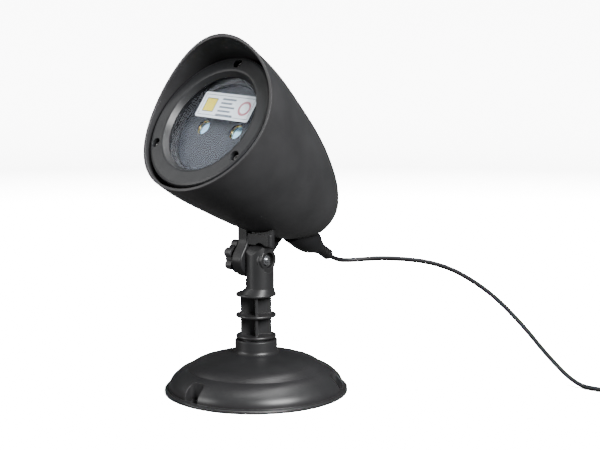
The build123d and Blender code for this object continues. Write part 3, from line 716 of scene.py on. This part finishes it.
@dataclass(frozen=True)
class Cord:
    """The low-voltage cord: out of the boot, down to the ground, and into a put-away coil with its plug on top."""

    diameter: float = 3.8
    length: float = 3000.0
    route: tuple[Point, ...] = (
        (3.0, 83.59, 94.91), (3.0, 93.55, 89.16), (8.0, 109.5, 87.9), (30.0, 128.5, 90.2), (68.0, 151.5, 86.5),
        (104.0, 163.0, 67.5), (133.0, 167.0, 43.5), (160.0, 165.5, 19.0), (186.0, 162.0, 2.0), (206.0, 162.0, 2.0),
    )
    centre: Pair = (240.0, 192.0)
    middle: float = 22.8
    pitch: float = 3.95
    across: int = 5
    layers: int = 4
    bottom: float = 2.5
    turns: float = 18.94
    steps: int = 16                                         # points on a turn
    shift: float = 0.36                                     # part of a turn that moves to the next place
    loose: tuple[Pair, ...] = ((0.10, 2.3), (0.06, 7.1))    # how far the turns stray, and how often
    lifts: tuple[Point, ...] = (                            # from the coil's middle, and down from the plug's end
        (-6.2, -30.7, 6.0), (6.0, -30.7, 4.4), (14.4, -27.0, 2.6), (18.7, -22.7, 1.0), (21.0, -17.0, 0.1),
    )
    plug_tail: Point = (261.0, 178.0, 21.6)
    bend_to: Point = (186.0, 162.0, 2.0)
    sides: int = 12
    tie_angles: Pair = (100.0, 262.0)
    tie_gap: float = 0.3
    tie_corner: float = 1.6
    tie_half: Pair = (1.6, 0.22)
    twist_half: Pair = (1.28, 0.484)
    twist_gap: float = 0.2
    twist_turns: float = 2.5
    twist_step: float = 0.45
    twist_steps: int = 20

    def slot_of(self, turn: int) -> Pair:
        """Radius and height of a turn's place in the bundle, in millimetres.

        Args:
            turn: the turn's number, from 0 at the outside of the bottom layer.

        Returns:
            Radius from the coil's middle, and height.
        """
        layer, place = divmod(turn, self.across)
        inward = place if layer % 2 == 0 else self.across - 1 - place
        radius = self.middle + self.pitch * ((self.across - 1) / 2 - inward)
        return radius, self.bottom + self.pitch * layer

    def coil(self) -> list[Vector]:
        """Points of the wound turns, each turn moving to its next place near its end."""
        points = []
        for step in range(1, int(self.turns * self.steps)):
            done = step / self.steps
            turn = int(done)
            (r0, z0), (r1, z1) = self.slot_of(turn), self.slot_of(turn + 1)
            move = max(0.0, (done - turn - 1 + self.shift) / self.shift)
            move = move * move * (3 - 2 * move)
            radius = r0 + (r1 - r0) * move + sum(far * math.sin(often * done) for far, often in self.loose)
            angle = 2 * math.pi * done - math.pi / 2
            points.append(point(self.centre[0] + radius * math.cos(angle),
                                self.centre[1] + radius * math.sin(angle), z0 + (z1 - z0) * move))
        return points

    def tail(self) -> list[Vector]:
        """Points that lift the last turn onto the coil and round into the plug's end."""
        x, y, z = self.plug_tail
        cx, cy = self.centre
        return [point(cx + dx, cy + dy, z - drop) for dx, dy, drop in self.lifts] + [point(x, y, z)]

    def line(self) -> list[Vector]:
        """The cord's centre line, read from its NURBS spline."""
        points = [point(*p) for p in self.route] + self.coil() + self.tail()
        curve = bpy.data.curves.new("cord_line", "CURVE")
        curve.dimensions = "3D"
        curve.resolution_u = 8
        spline = curve.splines.new("NURBS")
        spline.points.add(len(points) - 1)
        for place, target in zip(spline.points, points):
            place.co = (*target, 1.0)
        spline.order_u = 3
        spline.use_endpoint_u = True
        carrier = bpy.data.objects.new("cord_line", curve)
        mesh = bpy.data.meshes.new_from_object(carrier)
        found = [v.co.copy() for v in mesh.vertices]
        bpy.data.meshes.remove(mesh)
        bpy.data.objects.remove(carrier)
        bpy.data.curves.remove(curve)
        return found

    def build(self) -> None:
        """Makes the cord's tube and the coil's two ties."""
        line = self.line()
        tube = new_piece("cord", sweep(round_section(self.diameter / 2, self.sides), line), made(SHEATH_PVC))
        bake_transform(tube)
        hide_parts("cord_run", "cord_lead", "cord_coil")
        total = sum((b - a).length for a, b in zip(line, line[1:]))
        LOG.info("cord %.3f m in %d points", total, len(line))
        for number, degrees in enumerate(self.tie_angles):
            self.tie(number, math.radians(degrees))

    def tie(self, number: int, angle: float) -> None:
        """Makes a flat band round the coil's bundle, and the twist that its ends make.

        Args:
            number: the tie's number.
            angle: where it is round the coil, in radians.
        """
        gap, corner = self.diameter / 2 + self.tie_gap, self.tie_corner
        half = self.pitch * (self.across - 1) / 2 + gap
        low, high = self.bottom - gap, self.bottom + self.pitch * (self.layers - 1) + gap
        out = Vector((math.cos(angle), math.sin(angle), 0.0))
        centre = point(*self.centre, 0.0)
        line = []
        corners = ((half - corner, high - corner, 0), (corner - half, high - corner, 90),
                   (corner - half, low + corner, 180), (half - corner, low + corner, 270))
        for r, z, start in corners:
            for k in range(6):
                a = math.radians(start + 18 * k)
                line.append(centre + out * mm(self.middle + r + corner * math.cos(a))
                            + Vector((0.0, 0.0, mm(z + corner * math.sin(a)))))
        wide, thick = self.tie_half
        band = [(-thick, -wide), (-thick, wide), (thick, wide), (thick, -wide)]
        tangent = Vector((-out.y, out.x, 0.0))
        loop = sweep(band, line, up=tangent, closed=True)
        settle(new_piece(f"coil_tie_{number}", loop, made(TIE_POLYTHENE)), "base", "cord_rubber")
        start = centre + out * mm(self.middle + half + self.twist_gap) + Vector((0.0, 0.0, mm((low + high) / 2)))
        stub = [start + out * mm(self.twist_step * k) for k in range(self.twist_steps)]
        wide, thick = self.twist_half
        ends = [(-thick, -wide), (-thick, wide), (thick, wide), (thick, -wide)]
        twisted = sweep(ends, stub, twist=self.twist_turns, up=tangent)
        settle(new_piece(f"coil_tie_twist_{number}", twisted, made(TIE_POLYTHENE)), "base", "cord_rubber")


# ---------------------------------------------------------------- the head's label

@dataclass(frozen=True)
class Label:
    """The printed film on the back of the glass, with rounded corners, in the head's turned frame."""

    width: float = 55.0
    height: float = 21.0
    middle: Pair = (2.5, 15.8)
    face: float = -6.62
    thick: float = 0.2
    corner: float = 1.8
    head_at: Point = (3.0, -51.0, 206.4)
    aim: float = 33.0
    turn: float = -5.0

    def place(self) -> Matrix:
        """The transform from the head's turned frame, in metres, to the model's."""
        aim = math.radians(self.aim)
        forward = Vector((0.0, -math.cos(aim), math.sin(aim)))
        across = Vector((1.0, 0.0, 0.0))
        axes = Matrix((across, forward.cross(across), forward)).transposed().to_4x4()
        return Matrix.Translation(point(*self.head_at)) @ axes @ Matrix.Rotation(math.radians(self.turn), 4, "Z")

    def build(self) -> None:
        """Makes the film with its UV map in millimetres."""
        shape = bmesh.new()
        half_w, half_h = self.width / 2 - self.corner, self.height / 2 - self.corner
        outline = []
        for sx, sy, start in ((1, 1, 0), (-1, 1, 90), (-1, -1, 180), (1, -1, 270)):
            for k in range(7):
                a = math.radians(start + 15 * k)
                outline.append((self.middle[0] + sx * half_w + self.corner * math.cos(a),
                                self.middle[1] + sy * half_h + self.corner * math.sin(a)))
        face = shape.faces.new([shape.verts.new(point(x, y, self.face - self.thick)) for x, y in outline])
        grown = bmesh.ops.extrude_face_region(shape, geom=[face])
        moved = [v for v in grown["geom"] if isinstance(v, bmesh.types.BMVert)]
        bmesh.ops.translate(shape, vec=(0.0, 0.0, mm(self.thick)), verts=moved)
        sheet = shape.loops.layers.uv.new("millimetres")
        left, foot = self.middle[0] - self.width / 2, self.middle[1] - self.height / 2
        for each in shape.faces:
            for loop in each.loops:
                loop[sheet].uv = (loop.vert.co.x * MM_PER_M - left, loop.vert.co.y * MM_PER_M - foot)
        shape.transform(self.place())
        # Printed polyester film: smooth white with flat inks.
        polyester = Print("printed_polyester", self.width, self.height)
        film = new_piece("plate_print", shape, made(polyester), smooth=False)
        settle(film, "head", "label_film", "plate_label")


# ---------------------------------------------------------------- stage, light and camera

@dataclass(frozen=True)
class Softbox:
    """One soft area light that faces the object."""

    name: str
    place: Point
    target: Point
    size: Pair
    power: float

    def build(self) -> None:
        """Hangs the light; its places and sizes are in metres."""
        lamp = bpy.data.lights.new(self.name, "AREA")
        lamp.shape = "RECTANGLE"
        lamp.size, lamp.size_y = self.size
        lamp.energy = self.power
        holder = bpy.data.objects.new(self.name, lamp)
        holder.location = self.place
        holder.rotation_euler = (Vector(self.target) - Vector(self.place)).to_track_quat("-Z", "Y").to_euler()
        bpy.context.scene.collection.objects.link(holder)


@dataclass(frozen=True)
class Studio:
    """A pale floor that curves up all round, soft lights and the camera."""

    camera_at: Point = (575.5, -620.9, 230.7)
    pitch: float = 82.99
    heading: float = 40.56
    lens: float = 67.76
    floor_reach: float = 2.4
    sweep_radius: float = 1.2
    sweep_steps: int = 12
    paper_low: Colour = (0.985, 0.985, 0.985, 1.0)
    wall: float = 3.2
    seen: float = 11.0
    bounce: float = 0.06
    world: float = 0.16
    lights: tuple[Softbox, ...] = (
        Softbox("key_left", (-1.5, -0.96, 1.35), (0.0, 0.0, 0.15), (0.9, 0.9), 8.0),
        Softbox("key_front_left", (-1.0, -1.75, 0.5), (0.0, 0.0, 0.12), (0.45, 0.9), 30.0),
        Softbox("key_right", (1.7, -0.45, 1.05), (0.0, 0.0, 0.15), (0.8, 0.8), 150.0),
        Softbox("top", (0.1, 0.1, 2.2), (0.0, 0.0, 0.1), (1.4, 1.4), 88.0),
    )

    def camera(self) -> None:
        """Sets the camera in front of the light, on the nut's side, about as high as the shell."""
        lens = bpy.data.cameras.new("camera")
        lens.lens = self.lens
        lens.sensor_width = 36.0
        lens.clip_start = 0.01
        holder = bpy.data.objects.new("camera", lens)
        holder.location = point(*self.camera_at)
        holder.rotation_euler = (math.radians(self.pitch), 0.0, math.radians(self.heading))
        bpy.context.scene.collection.objects.link(holder)
        bpy.context.scene.camera = holder

    def floor(self) -> None:
        """Makes the round floor and its curved wall as one swept surface."""
        shape = bmesh.new()
        profile = [Vector((0.0, 0.0, 0.0)), Vector((self.floor_reach, 0.0, 0.0))]
        for k in range(1, self.sweep_steps + 1):
            a = math.radians(90 / self.sweep_steps * k)
            profile.append(Vector((self.floor_reach + self.sweep_radius * math.sin(a), 0.0,
                                   self.sweep_radius * (1 - math.cos(a)))))
        profile.append(profile[-1] + Vector((0.0, 0.0, self.wall)))
        verts = [shape.verts.new(p) for p in profile]
        edges = [shape.edges.new(pair) for pair in zip(verts, verts[1:])]
        bmesh.ops.spin(shape, geom=verts + edges, cent=(0, 0, 0), axis=(0, 0, 1), angle=2 * math.pi, steps=64,
                       use_merge=True)
        bmesh.ops.remove_doubles(shape, verts=shape.verts, dist=1e-5)
        floor = new_piece("studio_floor", shape, self.paper())

    def paper(self) -> Material:
        """The floor's plain paper: bright to look at, and grey in what it throws back onto the object."""
        g = Graph("floor_paper")
        camera = g.add("LightPath", out="Is Camera Ray")
        grain = g.grain(40.0)
        clouded = g.add("MapRange", (grain, *MOST, 0.0, 1.0))
        shade = g.add("Mix", {SHARE: clouded, UNDER: srgb("ffffff"), OVER: self.paper_low}, **COLOURS)
        grey = g.add("BsdfDiffuse", {"Color": (self.bounce, self.bounce, self.bounce, 1.0)})
        lifted = g.add("VectorMath", {0: shade, "Scale": self.seen}, operation=Step.SCALE)
        bright = g.add("BsdfDiffuse", {"Color": lifted})
        g.tree.links.new(g.add("MixShader", (camera, grey, bright)), g.output.inputs["Surface"])
        return g.material

    def surroundings(self) -> None:
        """Even light from above the stage's wall."""
        world = bpy.data.worlds.new("studio")
        world.use_nodes = True
        back = world.node_tree.nodes["Background"]
        back.inputs["Color"].default_value = srgb("ffffff")
        back.inputs["Strength"].default_value = self.world
        bpy.context.scene.world = world

    def build(self) -> None:
        """Sets up the whole studio but the camera."""
        self.floor()
        self.surroundings()
        for light in self.lights:
            light.build()


def corners(box: tuple[Vector, Vector]) -> list[list[float]]:
    """A box's two corners as plain lists."""
    return [[float(v) for v in corner] for corner in box]


def main() -> None:
    """Builds the camera, the soft parts, the finishes and the studio."""
    logging.basicConfig(level=logging.INFO, format="%(name)s: %(message)s")
    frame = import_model()
    studio = Studio()
    studio.camera()
    Cord().build()
    Label().build()
    for part in (Stand(), Clamp(), Head(), LightEngine(), Plug()):
        part.dress(frame["nodes"])
    studio.build()


if __name__ == "__main__":
    main()
